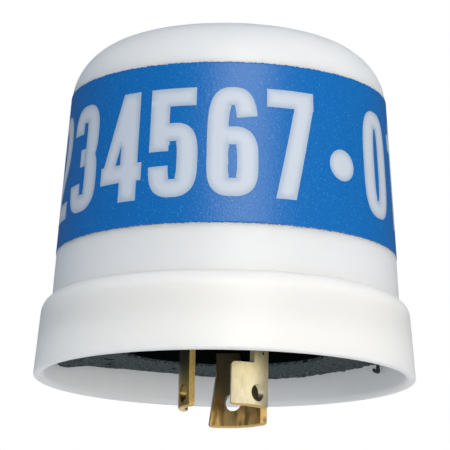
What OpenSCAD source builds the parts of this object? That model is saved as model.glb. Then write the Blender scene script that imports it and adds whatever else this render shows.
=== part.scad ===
// Photocell switch with a three-blade locking plug, for a street or yard light.
// A translucent cap with a skirt covers a round base. Three curved blades hang from the base,
// and on its upper side a light-sensitive cell feeds a small heater that bends a contact arm.
// The origin is on the axis, at the height of the gasket's sealing face, and +Z points to the dome.

/* [Cover] */
// Diameter over the skirt, at its rim
skirt_d = 82.5; // [80:0.5:92]
// Height of the skirt's drafted wall, from the rim to the shoulder
skirt_h = 13.6; // [12.5:0.1:17]
// Draft of the skirt's wall, in degrees
skirt_draft = 5.3; // [2:0.1:7]
// Wall of the skirt
skirt_wall = 2.25; // [1.6:0.05:2.8]
// How far the rim hangs below the gasket's sealing face
skirt_drop = 6.8; // [5:0.1:8]
// Radius of the rounded shoulder
shoulder_r = 3.9; // [3:0.1:5]
// How far the body's wall stands in from the skirt's, at the height where the shoulder starts
body_inset = 2.1; // [1.6:0.05:3]
// Draft of the body's wall, in degrees
body_draft = 4; // [1:0.1:6]
// Wall of the body and the dome
body_wall = 2; // [1.4:0.05:2.6]
// Height from the rim to the crown
cover_h = 74.45; // [70:0.5:90]
// Radius of the dome's edge
dome_r = 13.2; // [8:0.2:20]
// Radius of the shallow crown
crown_r = 210; // [120:5:400]
// Rounding of the rim's outer edge
rim_round = 0.9; // [0.3:0.1:1]
// Rounding of the rim's inner edge
rim_inner_round = 0.6; // [0.2:0.1:0.9]
// How far each snap bead catches under the base
bead_catch = 0.6; // [0.3:0.1:1]
// Height of a snap bead
bead_h = 1.6; // [1:0.1:2]
// Arc that a snap bead takes, in degrees
bead_arc = 26; // [10:1:50]

/* [Printed band] */
// Height of the band's lower edge above the rim
band_low = 26.8; // [20:0.2:32]
// Height of the band
band_h = 34.6; // [20:0.2:38]
// Thickness of the ink
band_t = 0.1; // [0.05:0.05:0.3]

/* [Base and gasket] */
// Thickness of the gasket
gasket_t = 2.8; // [2:0.1:4]
// Diameter of the gasket's hole
gasket_hole_d = 48.4; // [46:0.2:56]
// Thickness of the base plate
base_t = 4; // [3.4:0.1:5]
// How far the base plate's hub reaches down into the gasket's hole
hub_drop = 2.4; // [1:0.1:2.6]
// Chamfer on the base plate's lower edges
base_chamfer = 0.6; // [0.2:0.1:1]
// Diameter of the boss that holds the cell's post
boss_d = 10; // [8:0.2:12]
// Height of that boss above the base plate
boss_h = 6.2; // [4:0.2:8]
// Height of the barriers between the blades' feet
barrier_h = 5; // [2:0.5:6]
// Thickness of a barrier and of the stiffening ring
barrier_t = 1.8; // [1:0.1:2.6]

/* [Blades] */
// Diameter over the blades
blade_circle_d = 19.8; // [18:0.1:22]
// Thickness of the blades' sheet
blade_t = 1.5; // [1.2:0.05:1.8]
// Angle that a blade's stem takes on its circle
stem_arc = 31.5; // [24:0.5:38]
// Angle from the stem's middle to the short blades' hook end
hook_reach = 47.1; // [36:0.5:56]
// Angle from the stem's middle to the neutral blade's hook end
neutral_reach = 65.75; // [50:0.5:70]
// Angle that the neutral blade flares by at its tip
neutral_flare = 9; // [2:0.5:14]
// Depth of the short blades' tips below the sealing face
blade_depth = 13.4; // [12:0.1:16]
// Depth of the neutral blade's tip below the sealing face
neutral_depth = 15.95; // [13:0.05:18]
// Depth of the hooks' upper edge below the sealing face
hook_top = 4.1; // [2.5:0.1:5.5]
// Diameter of the hole in each blade
blade_hole_d = 3.8; // [2:0.1:4]
// Height of that hole's middle above the short blades' tips
blade_hole_rise = 3; // [2.6:0.1:4.5]
// Angle of that hole from the stem's middle, towards the hook
blade_hole_angle = 8.8; // [0:0.2:14]
// The same angle in the load blade
load_hole_angle = 0.6; // [0:0.2:14]
// Corner radius of the blades
blade_corner = 0.9; // [0.4:0.1:1.4]
// Rounding of the blades' tips, on both faces
tip_round = 0.55; // [0.2:0.05:0.55]
// Inside radius of the bend between a stem and its foot
blade_bend = 0.5; // [0.3:0.1:1]

/* [Rivets] */
// Radius of the circle of rivets
rivet_circle_r = 18; // [17:0.2:19]
// Diameter of a rivet's shank
rivet_d = 3; // [2.4:0.1:3.4]
// Diameter of a rivet's head
rivet_head_d = 6.2; // [5:0.1:7]
// Height of a rivet's head
rivet_head_h = 1.4; // [1:0.1:2]
// Diameter of the clinched end
clinch_d = 5.2; // [4.6:0.1:5.8]
// Height of the clinched end
clinch_h = 0.7; // [0.5:0.05:0.9]
// Diameter of a washer
washer_d = 7.2; // [6.4:0.1:7.6]
// Thickness of a washer
washer_t = 0.6; // [0.4:0.05:0.8]
// Depth of the recess that hides a clinched end
recess_h = 1.6; // [1.5:0.05:2]

/* [Switch] */
// Thickness of the brackets' sheet
bracket_t = 1; // [0.8:0.05:1.2]
// Width of the brackets
bracket_w = 8; // [7:0.2:9]
// How far a bracket's plate runs past its rivet
plate_tail = 6.9; // [5:0.1:7.5]
// Thickness of the contact arm
arm_t = 0.8; // [0.5:0.05:1]
// Width of the contact arm above its foot
arm_w = 6.4; // [5.6:0.1:7]
// Distance of the contact arm's middle plane from the axis
arm_x = 4.1; // [3.6:0.1:4.6]
// Height of the contacts above the base plate
contact_h = 40.2; // [36:0.2:43]
// Height of the arm's weld tab above the base plate
tab_h = 11.2; // [9:0.2:13]
// How far the arm opens, in degrees
arm_open = 4; // [2:0.5:4]
// Diameter of the contacts
contact_d = 5; // [4:0.1:5.6]
// Thickness of a contact's button
contact_t = 1.2; // [0.8:0.1:1.5]
// Diameter of the moving contact's shank
contact_shank_d = 2.4; // [1.8:0.1:2.8]
// Distance of the contact bracket's upright from the axis
upright_x = 9; // [8.6:0.1:9.6]
// Diameter of the calibration screw
screw_d = 3; // [2.5:0.1:3.4]
// Diameter of its head
screw_head_d = 5.5; // [5:0.1:6]
// Height of its head
screw_head_h = 2.2; // [1.6:0.1:2.6]
// Width of the slot in its head
screw_slot = 0.8; // [0.6:0.05:1]
// Room between its head and the bracket
screw_room = 2.3; // [1.6:0.1:3]
// Width of the nut across its flats
nut_af = 5.5; // [5:0.1:5.8]
// Thickness of the nut
nut_t = 2.4; // [1.6:0.1:2.8]

/* [Components] */
// Diameter of the heater's body
heater_d = 5; // [4:0.1:5.6]
// Length of the heater's body
heater_l = 16; // [12:0.5:17]
// Room between the open contact arm and the heater
heater_room = 0.8; // [0.4:0.1:1.4]
// Diameter of the components' leads
lead_d = 0.8; // [0.6:0.05:0.9]
// Height of the leads' run above the base plate
lead_h = 6.2; // [5.8:0.1:7]
// Diameter of the light-sensitive cell
cell_d = 14; // [12:0.2:14.4]
// Thickness of the light-sensitive cell
cell_t = 2.5; // [2:0.1:3]
// Height of the cell's clear window
window_h = 0.9; // [0.6:0.1:1.2]
// Distance from the contacts up to the floor of the cell's cup
cup_rise = 6; // [5.6:0.1:7]
// Thickness of the cup's floor and of the post's ribs
holder_t = 1.5; // [1.2:0.1:2]
// Wall of the cell's cup
cup_wall = 1.35; // [1:0.05:1.6]
// How far each of the cup's three snap lips reaches over the cell
lip_catch = 0.35; // [0.2:0.05:0.4]
// Arc that a snap lip takes, in degrees
lip_arc = 36; // [20:1:60]
// Diameter of the surge arrester's disc
arrester_d = 14; // [12:0.5:15]
// Thickness of the surge arrester's disc
arrester_t = 4.5; // [3.5:0.1:5]

/* [Clearances] */
// Between the base plate's edge and the skirt
base_gap = 0.3; // [0.2:0.05:0.5]
// Between the base plate and the snap beads
bead_gap = 0.1; // [0.05:0.05:0.2]
// Between the gasket's edge and the snap beads
gasket_gap = 0.3; // [0.2:0.05:0.5]
// Between the stiffening ring and the cover's wall
ring_gap = 1; // [0.5:0.1:1.5]
// Between the band and the cover
band_gap = 0.03; // [0.02:0.01:0.06]
// Round a blade in its slot
slot_gap = 0.2; // [0.1:0.05:0.3]
// Round a shank, plug or lead in its hole
hole_gap = 0.12; // [0.08:0.02:0.2]
// Between the contact arm and its weld tab
weld_gap = 0.06; // [0.04:0.01:0.1]
// Between the closed contacts
closed_gap = 0.05; // [0.03:0.01:0.1]

/* [Hidden] */
$fn = 96;
wire_fn = 24;
cap_fn = 720;
over = 1;
corner_ease = 1.05;

// Where the blades' stems stand, counted from +X
line_angle = -30;
load_angle = 210;
neutral_angle = 90;
blade_angles = [line_angle, load_angle, neutral_angle];
half_pitch = 60;

// Heights
z_rim = -skirt_drop;
z_shoulder = z_rim + skirt_h;
z_crown = z_rim + cover_h;
z_base = gasket_t;
z_hub = z_base - hub_drop;
z_deck = z_base + base_t;
z_foot = z_deck + blade_t;
z_plate = z_foot + bracket_t;
z_tab = z_deck + tab_h;
z_contact = z_deck + contact_h;
z_cup = z_contact + cup_rise;
z_cell = z_cup + holder_t;
z_window = z_cell + cell_t;
z_boss = z_deck + boss_h;
z_lead = z_deck + lead_h;

// Radii of the cover's walls at a height
function skirt_r(z) = skirt_d / 2 - (z - z_rim) * tan(skirt_draft);
function skirt_inner_r(z) = skirt_r(z) - skirt_wall / cos(skirt_draft);
function body_r(z) = skirt_r(z_shoulder) - body_inset - (z - z_shoulder) * tan(body_draft);

// Base, gasket and blades
base_r = skirt_inner_r(z_deck) - base_gap;
bead_r = base_r - bead_catch;
gasket_r = bead_r - gasket_gap;
blade_ro = blade_circle_d / 2;
blade_ri = blade_ro - blade_t;
hub_r = gasket_hole_d / 2 - gasket_gap;
foot_r = rivet_circle_r + rivet_head_d / 2 + blade_corner;
slot_arc_gap = asin(slot_gap / blade_ri);
blade_hole_z = blade_hole_rise - blade_depth;
ring_near = blade_ri / 4;
ring_far = foot_r + over;

// The row of the switch: both its rivets lie on one line along X
row_y = rivet_circle_r * sin(line_angle);
rivet_x = rivet_circle_r * cos(line_angle);
plate_end = rivet_x + plate_tail;
tab_x = arm_x + arm_t / 2 + weld_gap;
arm_lift = 0.8;
arm_taper = 3;
arm_corner = 0.6;
arm_flat = 0.2;
moving_face_x = arm_x - arm_t / 2 - contact_t;
fixed_face_x = moving_face_x - closed_gap;
screw_tip_x = fixed_face_x - contact_t;
screw_seat_x = -upright_x - bracket_t - screw_room;

// The heater stands beside the arm, clear of it when it opens
heater_rise = 4;
z_heater = z_tab + heater_rise;
arm_travel = (z_heater + heater_l - z_tab) * tan(arm_open);

// Ears that hold the leads, and the places of what hangs on them
ear_w = 4;
ear_h = 2.5;
ear_margin = 0.5;
ear_bend = 0.25;
bracket_bend = 0.5;
bracket_corner = 1.5;
ear_hole_r = lead_d / 2 + hole_gap;
heater_x = arm_x + arm_t / 2 + arm_travel + heater_room + heater_d / 2;
cell_lead_x = heater_x + ear_w / 2 + lead_d;
arrester_x = plate_end - ear_w / 2 - ear_margin;
line_ear_y = row_y + bracket_w / 2;
lug_inner_y = rivet_circle_r - rivet_head_d / 2 - 2 * bracket_t;
lug_arm_y = lug_inner_y + ear_w;
lug_outer_y = rivet_circle_r + rivet_head_d / 2 + ear_margin;
lead_end = 1.2;
bend_swell = 1.05;

// The crimp that joins the heater's upper lead to one of the cell's
splice_rise = 3.5;
z_splice = z_heater + heater_l + splice_rise;
splice_h = 3;
splice_wall = 0.35;
splice_pitch = lead_d + 2 * hole_gap;

// The cell's leads leave its underside on either side of the X axis
pigtail_x = 5.2;
pigtail_y = 2;
pigtail_drop = 1.5;
z_pigtail = z_cup - pigtail_drop;
cell_lead_y = 1;

// The post that carries the cell
post_foot_w = 6.6;
post_head_w = 5;
plug_d = 6;
socket_floor = 1;
plug_h = boss_h - socket_floor - bead_gap;
cup_lip = 0.9;
lip_gap = 0.05;
lip_count = 3;
window_inset = 0.5;

// Stiffening ring outside everything that stands on the base plate, close inside the cover's wall
ring_outer_r = body_r(z_deck + barrier_t) - body_wall / cos(body_draft) - ring_gap;

// One corner of an outline: its point, the ends of its arc, the arc's centre, the way it turns and its radius
function corner(p, q, r) =
    let(a = [q.x - p.x, q.y - p.y] / norm([q.x - p.x, q.y - p.y]))
    let(b = [r.x - q.x, r.y - q.y] / norm([r.x - q.x, r.y - q.y]))
    let(turn = sign(a.x * b.y - a.y * b.x))
    let(cut = q[2] * tan(acos(a * b) / 2))
    let(at = [q.x, q.y])
    [
        at,
        q[2] > 0 ? [at - cut * a, at + cut * b] : [at],
        at - cut * a + turn * q[2] * [-a.y, a.x],
        turn,
        q[2]
    ];

// The sliver between a corner's chord and its arc
module corner_sliver(c) {
    intersection() {
        translate(c[2]) circle(r = c[4]);
        polygon([c[1][0], c[0], c[1][1]]);
    }
}

// An outline with rounded corners, from points [x, y, radius] taken anticlockwise
module rounded(points) {
    n = len(points);
    corners = [for (i = [0:n - 1]) corner(points[(i + n - 1) % n], points[i], points[(i + 1) % n])];
    difference() {
        union() {
            polygon([for (c = corners) each c[1]]);
            for (c = corners)
                if (c[4] > 0 && c[3] > 0) corner_sliver(c);
        }
        for (c = corners)
            if (c[4] > 0 && c[3] < 0) corner_sliver(c);
    }
}

// An outline drawn in X and Z, made into a slab along Y
module slab_y(w) {
    rotate([90, 0, 0]) linear_extrude(w, center = true) children();
}

// An outline drawn in Y and Z, made into a slab along X
module slab_x(w) {
    rotate([90, 0, 90]) linear_extrude(w, center = true) children();
}

// The waste of a square corner that is rounded, with the corner at the origin.
// The round meets both edges at a slight angle, as a tumbled edge does.
module corner_waste(r) {
    difference() {
        translate([-over, -over]) square(r + over);
        translate([r, r]) circle(r = r * corner_ease);
    }
}

// A wire through a list of points
module wire(points, d) {
    for (i = [0:len(points) - 2]) {
        run = points[i + 1] - points[i];
        translate(points[i])
            rotate([0, acos(run.z / norm(run)), atan2(run.y, run.x)])
                cylinder(d = d, h = norm(run), $fn = wire_fn);
    }
    for (i = [1:len(points) - 2])
        translate(points[i]) sphere(d = d * bend_swell, $fn = wire_fn);
}

// A domed button that stands on the XY plane
module dome_head(d, h) {
    ball_r = (d * d / 4 + h * h) / (2 * h);
    rotate_extrude()
        intersection() {
            translate([0, h - ball_r]) circle(r = ball_r, $fn = cap_fn);
            square([d, h]);
        }
}

// Height of the centre of an edge arc that rolls from a drafted wall into a crown
function edge_z(wall_foot, slope, arc_r, cap_r, top) =
    let(k = tan(slope), c = top - cap_r, l = cap_r - arc_r)
    let(a = wall_foot - arc_r / cos(slope), m = a * k + c, q = 1 + k * k)
    (m + sqrt(m * m - q * (a * a + c * c - l * l))) / q;

// Half section of a drafted cup, closed by a rounded edge and a shallow crown.
// wall_foot is the wall's radius where it would meet the height zero.
module cup_section(wall_foot, slope, arc_r, cap_r, top, low) {
    arc_z = edge_z(wall_foot, slope, arc_r, cap_r, top);
    arc_x = wall_foot - arc_z * tan(slope) - arc_r / cos(slope);
    lean = asin(arc_x / (cap_r - arc_r));
    cap_foot = [arc_x + arc_r * sin(lean), arc_z + arc_r * cos(lean)];
    polygon([
        [0, low],
        [wall_foot - low * tan(slope), low],
        [arc_x + arc_r * cos(slope), arc_z + arc_r * sin(slope)],
        cap_foot,
        [0, cap_foot.y]
    ]);
    translate([arc_x, arc_z]) circle(r = arc_r);
    intersection() {
        translate([0, top - cap_r]) circle(r = cap_r, $fn = cap_fn);
        translate([0, arc_z]) square([cap_foot.x, top]);
    }
}

// Half section of the skirt and its shoulder, as a solid
module skirt_section() {
    lean = [cos(skirt_draft), sin(skirt_draft)];
    shoulder = [skirt_r(z_shoulder), z_shoulder];
    middle = shoulder - shoulder_r * lean;
    rounded([
        [0, z_rim, 0],
        [skirt_r(z_rim), z_rim, rim_round],
        [shoulder.x, shoulder.y, 0],
        [middle.x, middle.y, 0],
        [0, middle.y, 0]
    ]);
    intersection() {
        translate(middle) circle(r = shoulder_r);
        translate([0, middle.y]) square([shoulder.x, shoulder_r]);
    }
    translate([0, middle.y]) square([middle.x, shoulder_r]);
}

// Half section of the room inside the skirt, below the ledge that the base seats on
module skirt_room_section() {
    polygon([
        [0, z_rim - over],
        [skirt_inner_r(z_rim - over), z_rim - over],
        [skirt_inner_r(z_deck), z_deck],
        [0, z_deck]
    ]);
    translate([skirt_inner_r(z_rim), z_rim])
        corner_waste(rim_inner_round);
}

module cover() {
    wall_foot = body_r(0);
    color("gainsboro") {
        rotate_extrude()
            difference() {
                union() {
                    cup_section(wall_foot, body_draft, dome_r, crown_r, z_crown, z_shoulder);
                    skirt_section();
                }
                cup_section(wall_foot - body_wall / cos(body_draft), body_draft, dome_r - body_wall,
                    crown_r - body_wall, z_crown - body_wall, z_deck - over);
                skirt_room_section();
            }
        snap_beads();
    }
}

// Four beads inside the skirt that the base plate snaps over
module snap_beads() {
    top = z_base - bead_gap;
    low = top - bead_h;
    for (a = [0:90:270])
        rotate([0, 0, a - bead_arc / 2])
            rotate_extrude(angle = bead_arc)
                polygon([
                    [skirt_inner_r(low), low],
                    [skirt_inner_r(low) + skirt_wall / 2, low],
                    [skirt_inner_r(top) + skirt_wall / 2, top],
                    [bead_r, top],
                    [bead_r, top - bead_h / 4]
                ]);
}

module printed_band() {
    low = z_rim + band_low;
    high = low + band_h;
    color("royalblue")
        rotate_extrude()
            polygon([
                [body_r(low) + band_gap, low],
                [body_r(low) + band_gap + band_t, low],
                [body_r(high) + band_gap + band_t, high],
                [body_r(high) + band_gap, high]
            ]);
}

module gasket() {
    color("darkslategray")
        difference() {
            cylinder(r = gasket_r, h = gasket_t);
            translate([0, 0, -over]) cylinder(d = gasket_hole_d, h = gasket_t + 2 * over);
        }
}

module base_plate() {
    color("#17181a")
        difference() {
            union() {
                rotate_extrude()
                    polygon([
                        [0, z_hub],
                        [hub_r - base_chamfer, z_hub],
                        [hub_r, z_hub + base_chamfer],
                        [hub_r, z_base],
                        [base_r - base_chamfer, z_base],
                        [base_r, z_base + base_chamfer],
                        [base_r, z_deck],
                        [0, z_deck]
                    ]);
                translate([0, 0, z_base]) cylinder(d = boss_d, h = base_t + boss_h);
                stiffening_ring();
                barriers();
            }
            for (a = blade_angles)
                rotate([0, 0, a]) {
                    blade_slot();
                    rivet_room();
                }
            translate([0, 0, z_deck + socket_floor])
                cylinder(d = plug_d + 2 * hole_gap, h = boss_h + over);
        }
}

module stiffening_ring() {
    translate([0, 0, z_base])
        difference() {
            cylinder(r = ring_outer_r, h = base_t + barrier_t);
            translate([0, 0, -over]) cylinder(r = ring_outer_r - barrier_t, h = base_t + barrier_t + 2 * over);
        }
}

// Walls that keep the feet of neighbouring blades apart
module barriers() {
    inner = blade_ro + blade_corner;
    outer = foot_r - blade_corner;
    for (a = blade_angles)
        rotate([0, 0, a + half_pitch])
            translate([inner, -barrier_t / 2, z_base])
                cube([outer - inner, barrier_t, base_t + barrier_h]);
}

module blade_slot() {
    arc = stem_arc + 2 * slot_arc_gap;
    rotate([0, 0, -arc / 2])
        rotate_extrude(angle = arc)
            translate([blade_ri - slot_gap, z_hub - over])
                square([blade_t + blade_bend + 2 * slot_gap, z_deck - z_hub + 2 * over]);
}

module rivet_room() {
    translate([rivet_circle_r, 0, z_hub - over]) {
        cylinder(d = rivet_d + 2 * hole_gap, h = z_deck - z_hub + 2 * over);
        cylinder(d = washer_d + 4 * hole_gap, h = hub_drop + recess_h + over);
    }
}

// The bent section that a blade is cut from: a wall, and a foot that turns out over the base plate
module blade_section(depth) {
    rounded([
        [blade_ri, -depth, tip_round],
        [blade_ro, -depth, tip_round],
        [blade_ro, z_deck, blade_bend],
        [foot_r, z_deck, 0],
        [foot_r, z_foot, 0],
        [blade_ri, z_foot, blade_bend + blade_t]
    ]);
}

// A locking blade: a curved hook with a hole, a stem, and a foot bent out over the base plate.
// It is cut from a ring whose seam lies on the far side.
module blade(reach, flare, depth, hole_angle) {
    difference() {
        rotate([0, 0, 180]) rotate_extrude() blade_section(depth);
        translate([blade_ri * cos(reach) / 2 - 2 * ring_far, -ring_far, -depth - over])
            cube([2 * ring_far, 2 * ring_far, depth + z_foot + 2 * over]);
        across_ring(-reach) hook_end_waste(depth);
        across_ring(-stem_arc / 2) notch_waste();
        across_ring(stem_arc / 2) trailing_waste(flare, depth);
        rotate([0, 0, -hole_angle])
            translate([blade_ri, 0, blade_hole_z])
                slab_x(2 * blade_t + 2 * over) circle(d = blade_hole_d);
        translate([rivet_circle_r, 0, z_deck - over])
            cylinder(d = rivet_d + 2 * hole_gap, h = blade_t + 2 * over);
        for (side = [-1, 1])
            rotate([0, 0, side * stem_arc / 2])
                translate([foot_r, 0, z_deck - over])
                    linear_extrude(blade_t + 2 * over)
                        mirror([1, 0])
                            mirror([0, side > 0 ? 1 : 0])
                                corner_waste(blade_corner);
    }
}

// An outline drawn along the circle and in Z, cut out through a blade's ring at an angle
module across_ring(angle) {
    rotate([0, 0, angle])
        translate([(ring_near + ring_far) / 2, 0, 0])
            slab_x(ring_far - ring_near) children();
}

// What is cut away beyond a hook's end, which has two round corners
module hook_end_waste(depth) {
    translate([-ring_far, -depth - over])
        square([ring_far, depth - hook_top + 2 * over]);
    translate([0, -depth]) corner_waste(blade_corner);
    translate([0, -hook_top]) mirror([0, 1]) corner_waste(blade_corner);
}

// What is cut away above a hook, beside its stem
module notch_waste() {
    rounded([
        [-ring_far, -hook_top, 0],
        [0, -hook_top, blade_corner / 2],
        [0, z_foot + over, 0],
        [-ring_far, z_foot + over, 0]
    ]);
}

// What is cut away behind a blade's trailing edge, which can slant out to its round lower corner
module trailing_waste(flare, depth) {
    tip = [blade_ro * sin(flare), -depth, blade_corner];
    slant = tip.x / (depth - hook_top);
    c = corner([-ring_far, -depth], tip, [0, -hook_top]);
    polygon([
        [tip.x + slant * over, -depth - over],
        [ring_far, -depth - over],
        [ring_far, z_foot + over],
        [0, z_foot + over],
        each flare > 0 ? [[0, -hook_top]] : []
    ]);
    difference() {
        polygon([c[2], 2 * c[1][0] - c[2], [tip.x + over, -depth - over], 2 * c[1][1] - c[2]]);
        translate(c[2]) circle(r = blade_corner * corner_ease);
    }
}

module line_blade() {
    color("darkkhaki") rotate([0, 0, line_angle]) blade(hook_reach, 0, blade_depth, blade_hole_angle);
}

module load_blade() {
    color("darkkhaki") rotate([0, 0, load_angle]) blade(hook_reach, 0, blade_depth, load_hole_angle);
}

module neutral_blade() {
    color("darkkhaki")
        rotate([0, 0, neutral_angle]) blade(neutral_reach, neutral_flare, neutral_depth, blade_hole_angle);
}

module blade_rivets() {
    washer_z = z_base + recess_h - washer_t;
    color("goldenrod")
        for (a = blade_angles)
            rotate([0, 0, a])
                translate([rivet_circle_r, 0, 0])
                    difference() {
                        union() {
                            translate([0, 0, z_plate]) dome_head(rivet_head_d, rivet_head_h);
                            translate([0, 0, washer_z - clinch_h])
                                cylinder(d = rivet_d, h = z_plate - washer_z + clinch_h);
                            translate([0, 0, washer_z - clinch_h])
                                cylinder(d = clinch_d, h = clinch_h);
                        }
                        translate([0, 0, washer_z - clinch_h - over])
                            cylinder(d = rivet_d / 2, h = clinch_h + base_t / 2 + over);
                    }
}

module rivet_washers() {
    color("khaki")
        for (a = blade_angles)
            rotate([0, 0, a])
                translate([rivet_circle_r, 0, z_base + recess_h - washer_t])
                    difference() {
                        cylinder(d = washer_d, h = washer_t);
                        translate([0, 0, -over])
                            cylinder(d = rivet_d + 2 * hole_gap, h = washer_t + 2 * over);
                    }
}

// Section of a bracket that lies along +X and turns up at x
module angle_section(x, end, top) {
    rounded([
        [x, z_foot, bracket_bend + bracket_t],
        [end, z_foot, 0],
        [end, z_plate, 0],
        [x + bracket_t, z_plate, bracket_bend],
        [x + bracket_t, top, 0],
        [x, top, 0]
    ]);
}

// An ear bent up from a plate's edge at y, towards the given side, with a hole for a lead
module ear(x, y, side) {
    translate([x, y, 0])
        mirror([0, side < 0 ? 1 : 0, 0])
            difference() {
                slab_x(ear_w)
                    rounded([
                        [-over, z_foot, 0],
                        [bracket_t, z_foot, ear_bend + bracket_t],
                        [bracket_t, z_lead + ear_h, 0],
                        [0, z_lead + ear_h, 0],
                        [0, z_plate, ear_bend],
                        [-over, z_plate, 0]
                    ]);
                translate([0, 2 * bracket_t, z_lead])
                    rotate([90, 0, 0]) cylinder(r = ear_hole_r, h = 3 * bracket_t, $fn = wire_fn);
            }
}

module rivet_hole(x, y) {
    translate([x, y, z_foot - over])
        cylinder(d = rivet_d + 2 * hole_gap, h = bracket_t + 2 * over);
}

module line_anchor() {
    color("khaki") {
        difference() {
            translate([0, row_y, 0])
                slab_y(bracket_w) angle_section(tab_x, plate_end, z_tab);
            rivet_hole(rivet_x, row_y);
        }
        ear(cell_lead_x, line_ear_y, 1);
        ear(arrester_x, line_ear_y, 1);
    }
}

module contact_bracket() {
    top = z_contact + bracket_w / 2;
    color("khaki")
        difference() {
            intersection() {
                mirror([1, 0, 0])
                    translate([0, row_y, 0])
                        slab_y(bracket_w) angle_section(upright_x, plate_end, top);
                translate([0, row_y, 0])
                    slab_x(2 * plate_end + 2 * over)
                        rounded([
                            [-bracket_w / 2, z_foot, 0],
                            [bracket_w / 2, z_foot, 0],
                            [bracket_w / 2, top, bracket_w / 3],
                            [-bracket_w / 2, top, bracket_w / 3]
                        ]);
            }
            rivet_hole(-rivet_x, row_y);
            along_row(-plate_end, screw_d / 2 + hole_gap, plate_end);
        }
}

// A round bar along the contacts' axis, from x on
module along_row(x, r, length) {
    translate([x, row_y, z_contact])
        rotate([0, 90, 0]) cylinder(r = r, h = length);
}

module neutral_lug() {
    color("khaki") {
        difference() {
            translate([0, 0, z_foot])
                linear_extrude(bracket_t)
                    rounded([
                        [-bracket_w / 2, lug_inner_y, bracket_corner],
                        [plate_end, lug_inner_y, 0],
                        [plate_end, lug_arm_y, bracket_corner],
                        [bracket_w / 2, lug_arm_y, bracket_corner],
                        [bracket_w / 2, lug_outer_y, bracket_corner],
                        [-bracket_w / 2, lug_outer_y, bracket_corner]
                    ]);
            rivet_hole(0, rivet_circle_r);
        }
        ear(heater_x, lug_inner_y, -1);
        ear(arrester_x, lug_inner_y, -1);
    }
}

module bimetal_arm() {
    foot = z_plate + arm_lift;
    waist = z_tab + arm_lift;
    neck = waist + arm_taper;
    top = z_contact + arm_w / 2;
    round_top = arm_w / 2 - arm_flat;
    color("lightslategray")
        difference() {
            translate([arm_x, row_y, 0])
                slab_x(arm_t)
                    rounded([
                        [-bracket_w / 2, foot, arm_corner],
                        [bracket_w / 2, foot, arm_corner],
                        [bracket_w / 2, waist, 0],
                        [arm_w / 2, neck, 0],
                        [arm_w / 2, top, round_top],
                        [-arm_w / 2, top, round_top],
                        [-arm_w / 2, neck, 0],
                        [-bracket_w / 2, waist, 0]
                    ]);
            along_row(arm_x - arm_t, contact_shank_d / 2 + hole_gap, 2 * arm_t);
        }
}

module moving_contact() {
    flange_t = contact_t / 3;
    flange_r = (contact_shank_d + flange_t) / 2 + hole_gap;
    color("silver") {
        along_row(moving_face_x, contact_d / 2, contact_t);
        along_row(moving_face_x, contact_shank_d / 2, contact_t + arm_t + flange_t);
        along_row(arm_x + arm_t / 2, flange_r, flange_t);
    }
}

module fixed_contact() {
    color("silver") along_row(screw_tip_x, contact_d / 2, contact_t);
}

module calibration_screw() {
    color("goldenrod")
        difference() {
            union() {
                along_row(screw_seat_x, screw_d / 2, screw_tip_x - screw_seat_x);
                along_row(screw_seat_x - screw_head_h, screw_head_d / 2, screw_head_h);
            }
            translate([screw_seat_x - screw_head_h - over, row_y - screw_head_d, z_contact - screw_slot / 2])
                cube([screw_head_h / 2 + over, 2 * screw_head_d, screw_slot]);
        }
}

module lock_nut() {
    color("goldenrod")
        translate([-upright_x, row_y, z_contact])
            rotate([0, 90, 0])
                difference() {
                    cylinder(d = nut_af / cos(30), h = nut_t, $fn = 6);
                    translate([0, 0, -over])
                        cylinder(d = screw_d + 2 * hole_gap, h = nut_t + 2 * over);
                }
}

module heater_resistor() {
    cap_h = 2.4;
    cap_lip = 0.2;
    color("tan") {
        translate([heater_x, row_y, z_heater]) {
            cylinder(d = heater_d, h = heater_l);
            for (z = [0, heater_l - cap_h])
                translate([0, 0, z]) cylinder(d = heater_d + cap_lip, h = cap_h);
            cylinder(d = lead_d, h = z_splice + splice_h - z_heater + lead_d, $fn = wire_fn);
        }
        wire([
            [heater_x, row_y, z_heater + cap_h],
            [heater_x, row_y, z_lead],
            [heater_x, lug_inner_y + lead_end, z_lead]
        ], lead_d);
    }
}

module photocell() {
    color("burlywood") {
        translate([0, 0, z_cell]) cylinder(d = cell_d, h = cell_t);
        wire([
            [pigtail_x, -pigtail_y, z_cell + cell_t / 2],
            [pigtail_x, -pigtail_y, z_pigtail],
            [heater_x, row_y + splice_pitch, z_pigtail],
            [heater_x, row_y + splice_pitch, z_splice - lead_d]
        ], lead_d);
        wire([
            [pigtail_x, pigtail_y, z_cell + cell_t / 2],
            [pigtail_x, pigtail_y, z_pigtail],
            [cell_lead_x, cell_lead_y, z_pigtail],
            [cell_lead_x, cell_lead_y, z_lead],
            [cell_lead_x, line_ear_y - lead_end, z_lead]
        ], lead_d);
    }
}

module cell_window() {
    color("orange")
        translate([0, 0, z_window]) dome_head(cell_d - 2 * window_inset, window_h);
}

module cell_holder() {
    cup_r = cell_d / 2 + hole_gap;
    cup_top = z_window + cup_lip;
    color("#202224")
        difference() {
            union() {
                translate([0, 0, z_cup]) cylinder(r = cup_r + cup_wall, h = cup_top - z_cup);
                for (turn = [0, 90])
                    rotate([0, 0, turn])
                        slab_y(holder_t)
                            polygon([
                                [-post_foot_w / 2, z_boss],
                                [post_foot_w / 2, z_boss],
                                [post_head_w / 2, z_cup + holder_t / 2],
                                [-post_head_w / 2, z_cup + holder_t / 2]
                            ]);
                translate([0, 0, z_boss - plug_h]) cylinder(d = plug_d, h = plug_h + holder_t);
            }
            translate([0, 0, z_cell]) cylinder(r = cup_r, h = cup_top);
            for (side = [-1, 1])
                translate([pigtail_x, side * pigtail_y, z_cup - over])
                    cylinder(r = ear_hole_r, h = holder_t + 2 * over, $fn = wire_fn);
        }
    color("#202224") snap_lips(cup_r, cup_top);
}

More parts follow.
